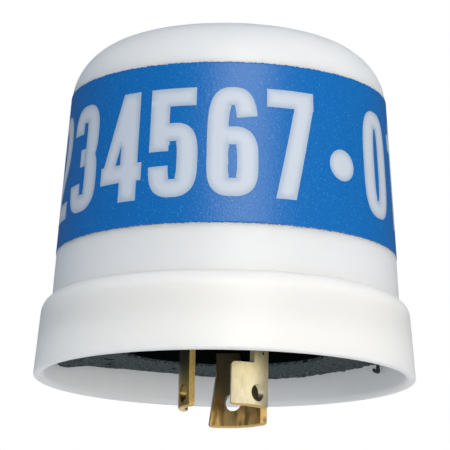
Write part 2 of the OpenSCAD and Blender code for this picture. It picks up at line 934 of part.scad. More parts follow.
// Lips at the cup's mouth that slope in over the cell's edge
module snap_lips(cup_r, top) {
    low = z_window + lip_gap;
    for (a = [0:lip_count - 1])
        rotate([0, 0, a * 360 / lip_count - lip_arc / 2])
            rotate_extrude(angle = lip_arc)
                polygon([
                    [cell_d / 2 - lip_catch, low],
                    [cup_r + cup_wall / 2, low],
                    [cup_r + cup_wall / 2, top - lip_gap],
                    [cup_r - lip_gap, top - lip_gap],
                    [cell_d / 2 - lip_catch, low + cup_lip / 3]
                ]);
}

module lead_splice() {
    outer = lead_d / 2 + hole_gap + splice_wall;
    color("silver")
        translate([heater_x, row_y, z_splice])
            linear_extrude(splice_h)
                difference() {
                    union() {
                        for (y = [0, splice_pitch]) translate([0, y]) circle(r = outer, $fn = wire_fn);
                        translate([-outer, 0]) square([2 * outer, splice_pitch]);
                    }
                    for (y = [0, splice_pitch])
                        translate([0, y]) circle(r = lead_d / 2 + hole_gap / 2, $fn = wire_fn);
                }
}

module lead_sleeves() {
    top = z_pigtail - lead_d;
    color("ivory") {
        sleeve(heater_x, row_y + splice_pitch, z_splice + splice_h + lead_d, top);
        sleeve(cell_lead_x, cell_lead_y, z_lead + 2 * lead_d, top);
    }
}

module sleeve(x, y, low, high) {
    translate([x, y, low])
        difference() {
            cylinder(d = 2 * lead_d + 2 * hole_gap, h = high - low, $fn = wire_fn);
            translate([0, 0, -over])
                cylinder(d = lead_d + 2 * hole_gap, h = high - low + 2 * over, $fn = wire_fn);
        }
}

module surge_arrester() {
    pitch = arrester_d / 4;
    rise = 4;
    middle_y = (line_ear_y + lug_inner_y) / 2;
    middle_z = z_lead + arrester_d / 2 + rise;
    edge = arrester_t / 3;
    color("steelblue") {
        translate([arrester_x, middle_y, middle_z])
            rotate([0, 90, 0])
                rotate_extrude()
                    rounded([
                        [0, -arrester_t / 2, 0],
                        [arrester_d / 2, -arrester_t / 2, edge],
                        [arrester_d / 2, arrester_t / 2, edge],
                        [0, arrester_t / 2, 0]
                    ]);
        for (end = [[-pitch, line_ear_y - lead_end], [pitch, lug_inner_y + lead_end]])
            wire([
                [arrester_x, middle_y + end[0], middle_z],
                [arrester_x, middle_y + end[0], z_lead],
                [arrester_x, end[1], z_lead]
            ], lead_d);
    }
}

cover();
printed_band();
gasket();
base_plate();
line_blade();
load_blade();
neutral_blade();
blade_rivets();
rivet_washers();
line_anchor();
contact_bracket();
neutral_lug();
bimetal_arm();
moving_contact();
fixed_contact();
calibration_screw();
lock_nut();
heater_resistor();
photocell();
cell_window();
cell_holder();
lead_splice();
lead_sleeves();
surge_arrester();
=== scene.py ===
"""Looks of the photocell switch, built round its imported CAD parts. Metres, in the CAD frame."""

import math

import bmesh
import bpy
import numpy as np
from mathutils import Matrix


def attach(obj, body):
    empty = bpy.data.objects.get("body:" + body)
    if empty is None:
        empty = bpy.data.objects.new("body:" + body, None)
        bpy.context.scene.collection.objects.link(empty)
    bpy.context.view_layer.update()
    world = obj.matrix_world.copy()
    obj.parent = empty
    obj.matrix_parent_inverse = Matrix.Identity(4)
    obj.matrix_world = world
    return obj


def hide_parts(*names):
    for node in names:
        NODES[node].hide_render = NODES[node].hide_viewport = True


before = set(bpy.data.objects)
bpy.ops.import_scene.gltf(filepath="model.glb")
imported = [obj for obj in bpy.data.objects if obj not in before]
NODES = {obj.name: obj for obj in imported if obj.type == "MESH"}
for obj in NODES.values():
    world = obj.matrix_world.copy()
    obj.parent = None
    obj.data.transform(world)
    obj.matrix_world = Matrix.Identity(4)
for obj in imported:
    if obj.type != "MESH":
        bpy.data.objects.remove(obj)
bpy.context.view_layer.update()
MM = 0.001

# Sizes of the cover, in millimetres and radians, as the CAD cover has them
Z_RIM, Z_SHOULDER, Z_DECK, Z_CROWN = -6.8, 6.8, 6.8, 67.65
SKIRT_R, SKIRT_DRAFT, SKIRT_WALL = 41.25, math.radians(5.3), 2.25
BODY_R, BODY_DRAFT, BODY_WALL = 37.888, math.radians(4.0), 2.0
DOME_R, CROWN_R = 13.2, 210.0
SHOULDER_R, SHOULDER_RISE = 3.9, 3.58
STEP_R, LEDGE_R, RIM_OUTER_R, RIM_INNER_R = 0.35, 0.15, 0.5, 1.25

# The base plate's radius and the snap beads that catch it: millimetres, and half a bead's reach in degrees
BASE_R = 37.43
BEAD_LOW, BEAD_TOP, BEAD_CATCH, BEAD_SINK, BEAD_LEAD = 1.1, 2.7, 0.6, 1.1, 0.4
BEAD_REACH, BEAD_PLACES = 13, (0, 90, 180, 270)

# The printed band and the signs in it: millimetres, and the bearing of a dot in degrees
BAND_LOW, BAND_HIGH, BAND_FACE, BAND_BACK, BAND_LIP = 20.0, 54.6, 0.13, 0.03, 0.3
BAND_MIDDLE = (BAND_LOW + BAND_HIGH) / 2
SIGNS, SIGN_COUNT, DOT_BEARING = "01234567*", 18, 45.9
SIGN_LIFT, SIGN_LAYER, SIGN_BACK = 0.02, 0.004, 0.005
DOT_R, DOT_DROP, DOT_EYE = 3.4, 2.6, 0.02

# The foam ring's sizes in millimetres, and where its rim sags: how far, and the bearing and width in degrees
FOAM_R, FOAM_HOLE, FOAM_LOW, FOAM_TOP, FOAM_SWELL = 37.25, 24.2, 0.02, 2.78, 0.18
FOAM_SAGS = [(3.0, 171, 17), (0.3, 147, 20), (0.9, 75, 30), (1.2, 300, 50)]

# The torn nib on the foam's rim: its bearing in degrees, and its route and half thicknesses in millimetres
NIB_BEARING, NIB_R, NIB_LEAN = 29.3, 37.5, 0.2
NIB_START, NIB_DROP, NIB_CURL, NIB_LIFT = 0.3, 2.0, 2.2, 0.6
NIB_ROOT, NIB_BELLY, NIB_TAIL, NIB_FLATNESS = 0.36, 0.76, 0.42, 0.55


# Shapes

def skirt_r(z):
    """Radius of the skirt's outer wall at a height: a cone that narrows upwards by its draft."""
    return SKIRT_R - (z - Z_RIM) * math.tan(SKIRT_DRAFT)


def skirt_inner_r(z):
    """Radius of the skirt's inner wall: the outer cone less the wall, measured level."""
    return skirt_r(z) - SKIRT_WALL / math.cos(SKIRT_DRAFT)


def body_r(z):
    """Radius of the body's outer wall at a height: a cone that narrows upwards by its draft."""
    return BODY_R - (z - Z_SHOULDER) * math.tan(BODY_DRAFT)


def around(steps):
    """Angles in equal steps once round a circle, in radians."""
    return np.linspace(0, 2 * math.pi, steps, endpoint=False)


def about_axis(r, a, z):
    """Points from radii, angles about the axis and heights: (r cos a, r sin a, z), spread over one grid."""
    return np.stack(np.broadcast_arrays(r * np.cos(a), r * np.sin(a), z), -1)


def waves(a, terms):
    """A ragged line round the axis: a sum of sines, each with its count, height and phase."""
    return sum(height * np.sin(count * a + phase) for count, height, phase in terms)


def bell(a, middle, width):
    """A smooth swelling round the axis: 1 at a middle angle, fading over a width, both in degrees."""
    off = (np.degrees(a) - middle + 180) % 360 - 180
    return np.exp(-(off / width) ** 2)


def mesh_object(name, verts, faces, body="housing", smooth=True):
    """A mesh piece at the origin, from points in millimetres, that rides on a body."""
    mesh = bpy.data.meshes.new(name)
    mesh.from_pydata((np.asarray(verts, float) * MM).tolist(), [], faces)
    mesh.polygons.foreach_set("use_smooth", [smooth] * len(mesh.polygons))
    mesh.update()
    piece = bpy.data.objects.new(name, mesh)
    bpy.context.scene.collection.objects.link(piece)
    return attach(piece, body)


def grid_faces(rows, cols, wrap_rows=False, wrap_cols=False, start=0):
    """Quads of a grid of points stored row after row, joined end to start where it wraps."""
    i, j = np.meshgrid(np.arange(rows - (not wrap_rows)), np.arange(cols - (not wrap_cols)), indexing="ij")
    k, m = (i + 1) % rows, (j + 1) % cols
    quads = np.stack([i * cols + j, i * cols + m, k * cols + m, k * cols + j], -1).reshape(-1, 4) + start
    return quads.tolist()


def border(grid):
    """The outer entries of a grid, in order round it."""
    return np.concatenate([grid[0], grid[1:, -1], grid[-1, -2::-1], grid[-2:0:-1, 0]])


def face_out(piece, weld=0.0):
    """Turns a piece's faces outward, and joins points closer than a distance."""
    work = bmesh.new()
    work.from_mesh(piece.data)
    if weld:
        bmesh.ops.remove_doubles(work, verts=work.verts, dist=weld)
    bmesh.ops.recalc_face_normals(work, faces=work.faces)
    work.to_mesh(piece.data)
    work.free()


def lathe(name, path, turns=288):
    """A surface of revolution: a path of (radius, height) turned about Z. Points on the axis become poles."""
    ring = about_axis(path[:, :1], around(turns), path[:, 1:])
    piece = mesh_object(name, ring.reshape(-1, 3), grid_faces(len(path), turns, wrap_cols=True))
    face_out(piece, 1e-7)
    return piece


def rounded_path(points, steps=9, close=0.2, closest=0.3):
    """A path through (x, y, radius) points: straight runs joined by arcs.

    Points close to a run's ends, or at a share of it where it is short, keep the run's shading flat."""
    p = np.array(points, float)
    corners = []
    for q, (x, y, r) in enumerate(p):
        here = np.array([x, y])
        if r <= 0 or q in (0, len(p) - 1):
            corners.append([here])
            continue
        a, b = p[q - 1, :2] - here, p[q + 1, :2] - here
        a, b = a / np.linalg.norm(a), b / np.linalg.norm(b)
        half = math.acos(np.clip(a @ b, -1, 1)) / 2
        middle = here + (a + b) / np.linalg.norm(a + b) * r / math.sin(half)
        lead, trail = here + a * r / math.tan(half) - middle, here + b * r / math.tan(half) - middle
        turn = math.acos(np.clip(lead @ trail / r**2, -1, 1))
        t = np.linspace(0, 1, steps)[:, None]
        swing = (np.sin((1 - t) * turn) * lead + np.sin(t * turn) * trail) / math.sin(turn)
        corners.append(list(middle + swing))
    path = [corners[0][0]]
    for this, following in zip(corners, corners[1:]):
        start, run = this[-1], following[0] - this[-1]
        near = min(close / max(np.linalg.norm(run), 1e-9), closest)
        path += [start + run * near, start + run * (1 - near)] + following
    return np.array(path)


def arc(middle, r, start, end, steps):
    """Points of an arc about a middle, from one angle to another in degrees, as (x, y, 0) rows."""
    t = np.radians(np.linspace(start, end, steps))
    return np.stack([middle[0] + r * np.cos(t), middle[1] + r * np.sin(t), 0 * t], -1)


def dome(foot, edge_r, crown_r, top):
    """Crown and edge of the cap from its axis outward: a wide arc, and an arc tangent to it and the wall.

    The edge arc's middle (x, z) lies an edge radius inside the wall's line, and as far from the crown arc's
    middle as the two radii differ, which gives a quadratic equation in z."""
    slope, crown_z, span = math.tan(BODY_DRAFT), top - crown_r, crown_r - edge_r
    a = foot - edge_r / math.cos(BODY_DRAFT)
    m, q = a * slope + crown_z, 1 + slope * slope
    z = (m + math.sqrt(m * m - q * (a * a + crown_z * crown_z - span * span))) / q
    x = a - z * slope
    lean = math.degrees(math.asin(x / span))
    crown = arc((0, crown_z), crown_r, 90, 90 - lean, 20)
    edge = arc((x, z), edge_r, 90 - lean, math.degrees(BODY_DRAFT), 28)
    return np.vstack([crown, edge[1:]])


def cover_path():
    """Half section of the one-piece cap, from the crown's outside round the rim to the crown's inside."""
    foot = body_r(0)
    shoulder = np.array([skirt_r(Z_SHOULDER), Z_SHOULDER])
    middle = shoulder - SHOULDER_R * np.array([math.cos(SKIRT_DRAFT), math.sin(SKIRT_DRAFT)])
    meet = math.acos((body_r(middle[1] + SHOULDER_RISE) - middle[0]) / SHOULDER_R)
    step = (*(middle + SHOULDER_R * np.array([math.cos(meet), math.sin(meet)])), STEP_R)
    # Degrees of the shoulder's round that are left to the small fillet at the step
    step_room = 9
    return rounded_path(np.vstack([
        dome(foot, DOME_R, CROWN_R, Z_CROWN),
        [step],
        arc(middle, SHOULDER_R, math.degrees(meet) - step_room, math.degrees(SKIRT_DRAFT), 16),
        [(skirt_r(Z_RIM), Z_RIM, RIM_OUTER_R), (skirt_inner_r(Z_RIM), Z_RIM, RIM_INNER_R)],
        [(skirt_inner_r(Z_DECK), Z_DECK, LEDGE_R), (body_r(Z_DECK) - BODY_WALL, Z_DECK, LEDGE_R)],
        dome(foot - BODY_WALL / math.cos(BODY_DRAFT), DOME_R - BODY_WALL, CROWN_R - BODY_WALL,
             Z_CROWN - BODY_WALL)[::-1],
    ]))


def on_band(x, y, lift):
    """Wraps flat print on the drafted wall: x runs along the circle at the band's middle, y is the height."""
    r = body_r(y) + BAND_FACE + lift
    a = x / body_r(BAND_MIDDLE)
    return np.stack([r * np.sin(a), -r * np.cos(a), y], -1)


# Materials

# Settings of the nodes that are used most
COLOUR = {"data_type": "RGBA"}
SMOOTH = {"interpolation_type": "SMOOTHSTEP"}
PLUS, MINUS, TIMES = {"operation": "ADD"}, {"operation": "SUBTRACT"}, {"operation": "MULTIPLY"}
ABOVE, BELOW, LARGER = {"operation": "GREATER_THAN"}, {"operation": "LESS_THAN"}, {"operation": "MAXIMUM"}
SIZE, ALONG = {"operation": "ABSOLUTE"}, {"operation": "DOT_PRODUCT"}


def linear(code):
    """A colour given as an sRGB hex code, as linear light."""
    c = np.array([int(code[i:i + 2], 16) for i in (1, 3, 5)]) / 255
    c = np.where(c <= 0.04045, c / 12.92, ((c + 0.055) / 1.055) ** 2.4)
    return (*c.tolist(), 1.0)


def add(tree, kind, settings=(), **inputs):
    """Adds a shader node with its settings, and sets or links its inputs, given by name or as _ and a number.

    An input that is a node is linked from that node's first output in use."""
    node = tree.nodes.new("ShaderNode" + kind)
    for key, value in dict(settings).items():
        setattr(node, key, value)
    for key, value in inputs.items():
        name = key.replace("_", " ")
        named = [s for s in node.inputs if s.enabled and s.name == name]
        socket = named[0] if named else node.inputs[int(key[1:])]
        if isinstance(value, bpy.types.Node):
            value = next(s for s in value.outputs if s.enabled)
        if isinstance(value, bpy.types.NodeSocket):
            tree.links.new(value, socket)
        else:
            socket.default_value = value
    return node


def material(name):
    """An empty material: gives it, its node tree, and the object's own coordinates in metres."""
    mat = bpy.data.materials.new(name)
    mat.use_nodes = True
    mat.node_tree.nodes.clear()
    return mat, mat.node_tree, add(mat.node_tree, "TexCoord").outputs["Object"]


def surface(mat, **inputs):
    """Closes a material with a surface that has these inputs."""
    shader = add(mat.node_tree, "BsdfPrincipled", **inputs)
    add(mat.node_tree, "OutputMaterial", Surface=shader)
    return mat


def layered(tree, tone, *layers):
    """Lays tones over a first one: each (field, low, high, code) shows fully where its field is past high."""
    for field, low, high, code in layers:
        share = add(tree, "MapRange", SMOOTH, Value=field, From_Min=low, From_Max=high)
        tone = add(tree, "Mix", COLOUR, Factor=share, A=tone, B=linear(code))
    return tone


def polypropylene_moulded():
    """Translucent moulded polypropylene: light soaks through the wall, so shade edges are soft and bluish.

    It is warm at the skirt and neutral on the body, and a painted shade makes the crown a little bluer."""
    mat, tree, place = material("polypropylene_moulded_translucent")
    height = add(tree, "SeparateXYZ", Vector=place).outputs["Z"]
    tone = layered(tree, linear("#f7efe6"),
                   (height, 6 * MM, 14 * MM, "#eff0f2"),
                   # Painted shade: a bluer, slightly greyer crown, as where less light falls on it
                   (height, 63 * MM, 67 * MM, "#e0e9f3"))
    grain = add(tree, "TexNoise", Vector=place, Scale=1 / (0.5 * MM))
    relief = add(tree, "Bump", Height=grain, Distance=0.004 * MM)
    return surface(mat, Base_Color=tone, Roughness=0.42, IOR=1.49, Normal=relief, Subsurface_Weight=1.0,
                   Subsurface_Radius=(1.0, 1.05, 1.15), Subsurface_Scale=6 * MM)


def ink_blue():
    """Screen-printed satin ink: even blue, with an orange peel that breaks up its sheen.

    Its pale specks are a painted sparkle of that sheen, drawn 0.28 mm wide to show, where real glints are
    finer."""
    mat, tree, place = material("screen_ink_blue")
    painted_sparkle = add(tree, "TexNoise", Vector=place, Scale=1 / (0.28 * MM), Detail=3.0)
    # Painted highlight: pale specks stand in for the glints of the orange peel
    tone = layered(tree, linear("#0062aa"), (painted_sparkle, 0.60, 0.70, "#388ecb"))
    peel = add(tree, "TexNoise", Vector=place, Scale=1 / (0.45 * MM), Detail=3.0)
    relief = add(tree, "Bump", Height=peel, Distance=0.065 * MM)
    return surface(mat, Base_Color=tone, Roughness=0.33, IOR=1.5, Specular_IOR_Level=0.36, Normal=relief)


def bare_wall():
    """Bare moulded wall left open in the print: matt and milky.

    Its tone is painted shade from the ink round it: darker than the open cover, and greyer towards its edges.
    """
    mat, tree, place = material("polypropylene_bare_in_print")
    inward = add(tree, "Attribute", {"attribute_name": "inward"}).outputs["Fac"]
    cloud = add(tree, "TexNoise", Vector=place, Scale=1 / (2.5 * MM))
    cloud = add(tree, "Math", TIMES, _0=cloud, _1=0.5)
    soft = add(tree, "Math", PLUS, _0=inward, _1=cloud)
    # Painted shade: darker at the edges, where the ink shades the wall
    tone = layered(tree, linear("#9eadbd"), (soft, 0.1, 1.8, "#bfc5ce"))
    return surface(mat, Base_Color=tone, Roughness=0.55, IOR=1.49)


def foam_fibrous():
    """Open fibrous foam sheet: dull slate grey-green, with pale flecks, dark pores and a rough cut face."""
    mat, tree, place = material("foam_sheet_fibrous")
    pulled = add(tree, "Mapping", Vector=place, Scale=(1.0, 2.2, 1.0))
    fibre = add(tree, "TexNoise", Vector=pulled, Scale=1 / (0.8 * MM), Detail=4.0)
    fleck = add(tree, "TexNoise", Vector=place, Scale=1 / (0.45 * MM), Detail=3.0)
    pressed = add(tree, "Mapping", Vector=place, Scale=(1.0, 1.0, 2.0))
    pore = add(tree, "TexNoise", Vector=pressed, Scale=1 / (3.2 * MM), Detail=3.0)
    tone = layered(tree, linear("#2a3436"),
                   (fibre, 0.36, 0.64, "#5a6668"),
                   (fleck, 0.60, 0.72, "#8f9a98"),
                   (pore, 0.64, 0.70, "#0c1011"))
    relief = add(tree, "Bump", Height=fibre, Distance=0.35 * MM)
    return surface(mat, Base_Color=tone, Roughness=0.95, IOR=1.45, Specular_IOR_Level=0.2, Normal=relief)


def phenolic_black():
    """Compression-moulded phenolic: near black and matt with a faint grain, and paler on top as painted
    light.
    """
    mat, tree, place = material("phenolic_moulded_black")
    height = add(tree, "SeparateXYZ", Vector=place).outputs["Z"]
    # Painted light: a paler upper side, so that its form shows
    tone = layered(tree, linear("#08090a"), (height, 1 * MM, 7 * MM, "#2a2b2d"))
    grain = add(tree, "TexNoise", Vector=place, Scale=1 / (0.6 * MM))
    relief = add(tree, "Bump", Height=grain, Distance=0.01 * MM)
    return surface(mat, Base_Color=tone, Roughness=0.8, IOR=1.6, Specular_IOR_Level=0.0, Normal=relief)


def ring_normal(tree, place, flat):
    """The normal of sheet curved about the axis: radial on broad faces, and the mesh's own on the edges."""
    level = add(tree, "VectorMath", TIMES, _0=place, _1=(1, 1, 0))
    out = add(tree, "VectorMath", {"operation": "NORMALIZE"}, _0=level)
    facing = add(tree, "VectorMath", ALONG, _0=flat, _1=out)
    way = add(tree, "Math", {"operation": "SIGN"}, _0=facing)
    radial = add(tree, "VectorMath", {"operation": "SCALE"}, _0=out, Scale=way)
    broad = add(tree, "Math", ABOVE, _0=add(tree, "Math", SIZE, _0=facing), _1=0.97)
    own = add(tree, "NewGeometry").outputs["Normal"]
    return add(tree, "Mix", {"data_type": "VECTOR"}, Factor=broad, A=own, B=radial)


def brass_tarnish(tree, place, height, share):
    """Tarnish that gathers at the tip, as a field from 0 to 1: a larger share covers more of the blade."""
    runs = add(tree, "Mapping", Vector=place, Scale=(1.0, 1.0, 0.35))
    stain = add(tree, "TexNoise", Vector=runs, Scale=1 / (2.2 * MM), Detail=4.0)
    gather = add(tree, "MapRange", SMOOTH, Value=height, From_Min=-14 * MM, From_Max=-6 * MM,
                 To_Min=0.16, To_Max=0.0)
    stain = add(tree, "Math", PLUS, _0=stain, _1=gather)
    return add(tree, "MapRange", SMOOTH, Value=stain, From_Min=0.70 - share, From_Max=0.95 - share)


def brass_blotches(tree, place):
    """Faint handling marks all over the sheet, as a field from 0 to 0.24."""
    runs = add(tree, "Mapping", Vector=place, Scale=(1.0, 1.0, 0.6))
    marks = add(tree, "TexNoise", Vector=runs, Scale=1 / (1.6 * MM), Detail=4.0)
    return add(tree, "MapRange", SMOOTH, Value=marks, From_Min=0.42, From_Max=0.75, To_Max=0.24)


def brass_tip_highlight(tree, height, flat):
    """A painted highlight on the tip's edge: 1 on faces near the tip that look down, and 0 elsewhere."""
    upward = add(tree, "SeparateXYZ", Vector=flat).outputs["Z"]
    downward = add(tree, "MapRange", SMOOTH, Value=upward, From_Min=-0.55, From_Max=-0.15,
                   To_Min=1.0, To_Max=0.0)
    tip = add(tree, "Math", BELOW, _0=height, _1=-12.7 * MM)
    return add(tree, "Math", TIMES, _0=downward, _1=tip)


def brass_stamped(name, high, low, tarnish, share, rough, fade=(-12, -3), sheared=None, pit=None):
    """Stamped brass sheet: warm metal with rolling lines and brown tarnish, and with painted reflections in
    its tone.

    Its tone changes from low to high between the two heights of fade: painted light, as where the sheet
    mirrors the dark gasket above and the lit skirt wall near its tip. A sheared end face, given by the level
    direction that it looks in, stays bright and grainy. A pit, given by its place, is a small dark spot. All
    are in millimetres. Real
    rolling lines are finer: they are drawn 0.25 mm wide to show."""
    mat, tree, place = material(name)
    flat = add(tree, "NewGeometry").outputs["True Normal"]
    height = add(tree, "SeparateXYZ", Vector=place).outputs["Z"]
    spread = brass_tarnish(tree, place, height, share)
    stained = add(tree, "Math", LARGER, _0=spread, _1=brass_blotches(tree, place))
    # Painted reflection: the tone by height stands in for what the sheet mirrors
    tone = layered(tree, linear(low), (height, fade[0] * MM, fade[1] * MM, high))
    tone = add(tree, "Mix", COLOUR, Factor=stained, A=tone, B=linear(tarnish))
    matt = add(tree, "MapRange", SMOOTH, Value=spread, To_Min=rough, To_Max=rough + 0.12)
    if sheared:
        way = add(tree, "VectorMath", ALONG, _0=place, _1=(*sheared, 0.0))
        end = add(tree, "MapRange", SMOOTH, Value=way, From_Min=-0.22 * MM, From_Max=-0.10 * MM)
        torn = add(tree, "TexNoise", Vector=place, Scale=1 / (0.5 * MM), Detail=3.0)
        grain = add(tree, "Mix", COLOUR, Factor=torn, A=linear("#dcae52"), B=linear("#ffe9a4"))
        tone = add(tree, "Mix", COLOUR, Factor=end, A=tone, B=grain)
        matt = add(tree, "Math", LARGER, _0=matt, _1=add(tree, "Math", TIMES, _0=end, _1=0.5))
    if pit:
        far = add(tree, "VectorMath", {"operation": "DISTANCE"}, _0=place, _1=[c * MM for c in pit])
        tone = layered(tree, tone, (far, 0.42 * MM, 0.2 * MM, "#2c2617"))
    painted_glint = brass_tip_highlight(tree, height, flat)
    # Painted highlight: the tip's down-facing edge is paler
    tone = add(tree, "Mix", COLOUR, Factor=painted_glint, A=tone, B=linear("#ecca86"))
    rolled = add(tree, "Mapping", Vector=place, Scale=(1.0, 1.0, 0.08))
    lines = add(tree, "TexNoise", Vector=rolled, Scale=1 / (0.25 * MM))
    relief = add(tree, "Bump", Height=lines, Distance=0.006 * MM, Normal=ring_normal(tree, place, flat))
    return surface(mat, Base_Color=tone, Metallic=1.0, Roughness=matt, Normal=relief)


def plain(name, code, rough, metallic=1.0, grain_mm=0.4, relief_mm=0.004):
    """One even tone, with a fine grain that spreads its highlights. Most plain pieces are metal."""
    mat, tree, place = material(name)
    grain = add(tree, "TexNoise", Vector=place, Scale=1 / (grain_mm * MM))
    relief = add(tree, "Bump", Height=grain, Distance=relief_mm * MM)
    return surface(mat, Base_Color=linear(code), Metallic=metallic, Roughness=rough, Normal=relief)


def near_line(tree, place, axis, at, r, low, high):
    """A field that is 1 within a radius of a line along an axis, between two places on it, in millimetres."""
    ways = dict(zip("xyz", add(tree, "SeparateXYZ", Vector=place).outputs))
    along = ways.pop(axis)
    off = [add(tree, "Math", MINUS, _0=way, _1=c * MM) for way, c in zip(ways.values(), at)]
    squares = [add(tree, "Math", TIMES, _0=d, _1=d) for d in off]
    square = add(tree, "Math", PLUS, _0=squares[0], _1=squares[1])
    field = add(tree, "Math", BELOW, _0=square, _1=(r * MM) ** 2)
    for side, end in ((ABOVE, low), (BELOW, high)):
        field = add(tree, "Math", TIMES, _0=field, _1=add(tree, "Math", side, _0=along, _1=end * MM))
    return field


def leads_and_body(mat, tree, body, tone, rough):
    """Closes a material that is bright tinned wire where the body's field is 0, and the body's own at 1."""
    colour = add(tree, "Mix", COLOUR, Factor=body, A=linear("#c9ccd0"), B=tone)
    metallic = add(tree, "MapRange", SMOOTH, Value=body, To_Min=1.0, To_Max=0.0)
    matt = add(tree, "MapRange", SMOOTH, Value=body, To_Min=0.3, To_Max=rough)
    return surface(mat, Base_Color=colour, Metallic=metallic, Roughness=matt)


def with_leads(name, code, rough, *line):
    """A component in one even tone with tinned leads. Its body lies near a line."""
    mat, tree, place = material(name)
    return leads_and_body(mat, tree, near_line(tree, place, *line), linear(code), rough)


def cell_ceramic():
    """Fired ceramic cell: a pale disc with a brick-coloured track that runs to and fro, and tinned leads."""
    mat, tree, place = material("cell_ceramic_fired")
    body = near_line(tree, place, "z", (0, 0), 7.1, 54.3, 57.1)
    face = near_line(tree, place, "z", (0, 0), 5.9, 56.9, 57.1)
    x = add(tree, "SeparateXYZ", Vector=place).outputs["X"]
    phase = add(tree, "Math", TIMES, _0=x, _1=2 * math.pi / (2.2 * MM))
    wave = add(tree, "Math", SIZE, _0=add(tree, "Math", {"operation": "SINE"}, _0=phase))
    track = add(tree, "MapRange", SMOOTH, Value=wave, From_Min=0.30, From_Max=0.36, To_Min=1.0, To_Max=0.0)
    shown = add(tree, "Math", TIMES, _0=face, _1=track)
    tone = add(tree, "Mix", COLOUR, Factor=shown, A=linear("#e6ddc8"), B=linear("#a5482a"))
    return leads_and_body(mat, tree, body, tone, 0.55)


def resin_clear():
    """Clear cast resin over the cell: smooth and glassy, with a slight warm tint."""
    mat, *_ = material("resin_cast_clear")
    return surface(mat, Base_Color=linear("#f6efe2"), Roughness=0.06, IOR=1.5, Transmission_Weight=1.0)


def paper_white():
    """Matt white paper lit from beneath: even and pale, and paler to the eye than as a light."""
    mat, tree, _ = material("floor_paper_white")
    seen = add(tree, "LightPath").outputs["Is Camera Ray"]
    glow = add(tree, "MapRange", SMOOTH, Value=seen, To_Min=0.06, To_Max=0.5)
    return surface(mat, Base_Color=linear("#fbf2ea"), Roughness=0.9, IOR=1.5,
                   Emission_Color=linear("#ffffff"), Emission_Strength=glow)


MATERIALS = {
    "polypropylene": polypropylene_moulded(),
    "ink_blue": ink_blue(),
    "bare_wall": bare_wall(),
    "foam": foam_fibrous(),
    "phenolic": phenolic_black(),
    # Clean brass in painted light: bright straw yellow, paler still at the tip, with a satin sheen and one
    # dark pit
    "brass_front": brass_stamped("brass_stamped_lit", "#ffeeba", "#fff3cc", "#b48c46",
                                 share=-0.12, rough=0.43, pit=(8.64, -4.84, -1.75)),
    # Tarnished brass with painted light: brown and dim above in painted shade, warm and bright at the tip as
    # a painted reflection
    "brass_rear": brass_stamped("brass_stamped_shaded_above_tarnished", "#7a7158", "#f2ca80", "#8c6f40",
                                share=0.14, rough=0.34, fade=(-14, -8.5)),
    # Tarnished brass seen from its side, in painted shade: olive and dim, with a bright sheared edge
    "brass_side": brass_stamped("brass_stamped_shaded_and_tarnished", "#5d5a42", "#b4985a", "#7a5f30",
                                share=0.14, rough=0.34, sheared=(0.716, -0.698)),
    # Headed brass: smooth domes with clear glints
    "rivet": plain("brass_headed", "#d8b873", 0.3),
    # Punched brass: flat, even and a little duller
    "washer": plain("brass_punched", "#ccb070", 0.35),
    # Formed brass sheet: pale and satin
    "bracket": plain("brass_formed", "#d6bd84", 0.34),
    # Rolled bimetal strip: plain grey and satin
    "bimetal": plain("bimetal_rolled", "#a9a8a4", 0.38),
    # Headed silver alloy: white and bright
    "silver": plain("silver_alloy_headed", "#dcdcda", 0.28),
    # Turned brass: yellow and bright
    "screw": plain("brass_turned", "#d9b25c", 0.25),
    # Wire-wound ceramic: a chalky buff body
    "heater": with_leads("ceramic_wirewound", "#b79f7c", 0.6, "z", (9.19, -9), 2.75, 21.9, 38.1),
    "cell": cell_ceramic(),
    "window": resin_clear(),
    # Moulded nylon: black with a low sheen
    "holder": plain("nylon_moulded_black", "#1b1c1f", 0.45, metallic=0.0, grain_mm=0.5, relief_mm=0.008),
    # Crimped tinned copper: cool grey and satin
    "splice": plain("tinned_copper_crimped", "#c9ccd0", 0.32),
    # Braided glass fibre: cream, matt and rough, with its braid drawn coarser than it is to show
    "sleeve": plain("glass_fibre_braided", "#e9e2cf", 0.8, metallic=0.0, grain_mm=0.3, relief_mm=0.05),
    # Dipped epoxy: deep blue with a wet sheen
    "arrester": with_leads("epoxy_dipped_blue", "#2f5f9c", 0.35, "x", (3.95, 24.0), 7.1, 15, 25),
}

# The CAD nodes' names, and the material that each one wears
CAD_LOOKS = {
    "base_plate": "phenolic", "line_blade": "brass_front", "load_blade": "brass_side",
    "neutral_blade": "brass_rear", "blade_rivets": "rivet", "rivet_washers": "washer",
    "line_anchor": "bracket", "contact_bracket": "bracket", "neutral_lug": "bracket",
    "bimetal_arm": "bimetal", "moving_contact": "silver", "fixed_contact": "silver",
    "calibration_screw": "screw", "lock_nut": "screw", "heater_resistor": "heater",
    "photocell": "cell", "cell_window": "window", "cell_holder": "holder",
    "lead_splice": "splice", "lead_sleeves": "sleeve", "surge_arrester": "arrester",
    "cover": "polypropylene", "printed_band": "ink_blue", "gasket": "foam",
}


# Pieces that stand for CAD nodes

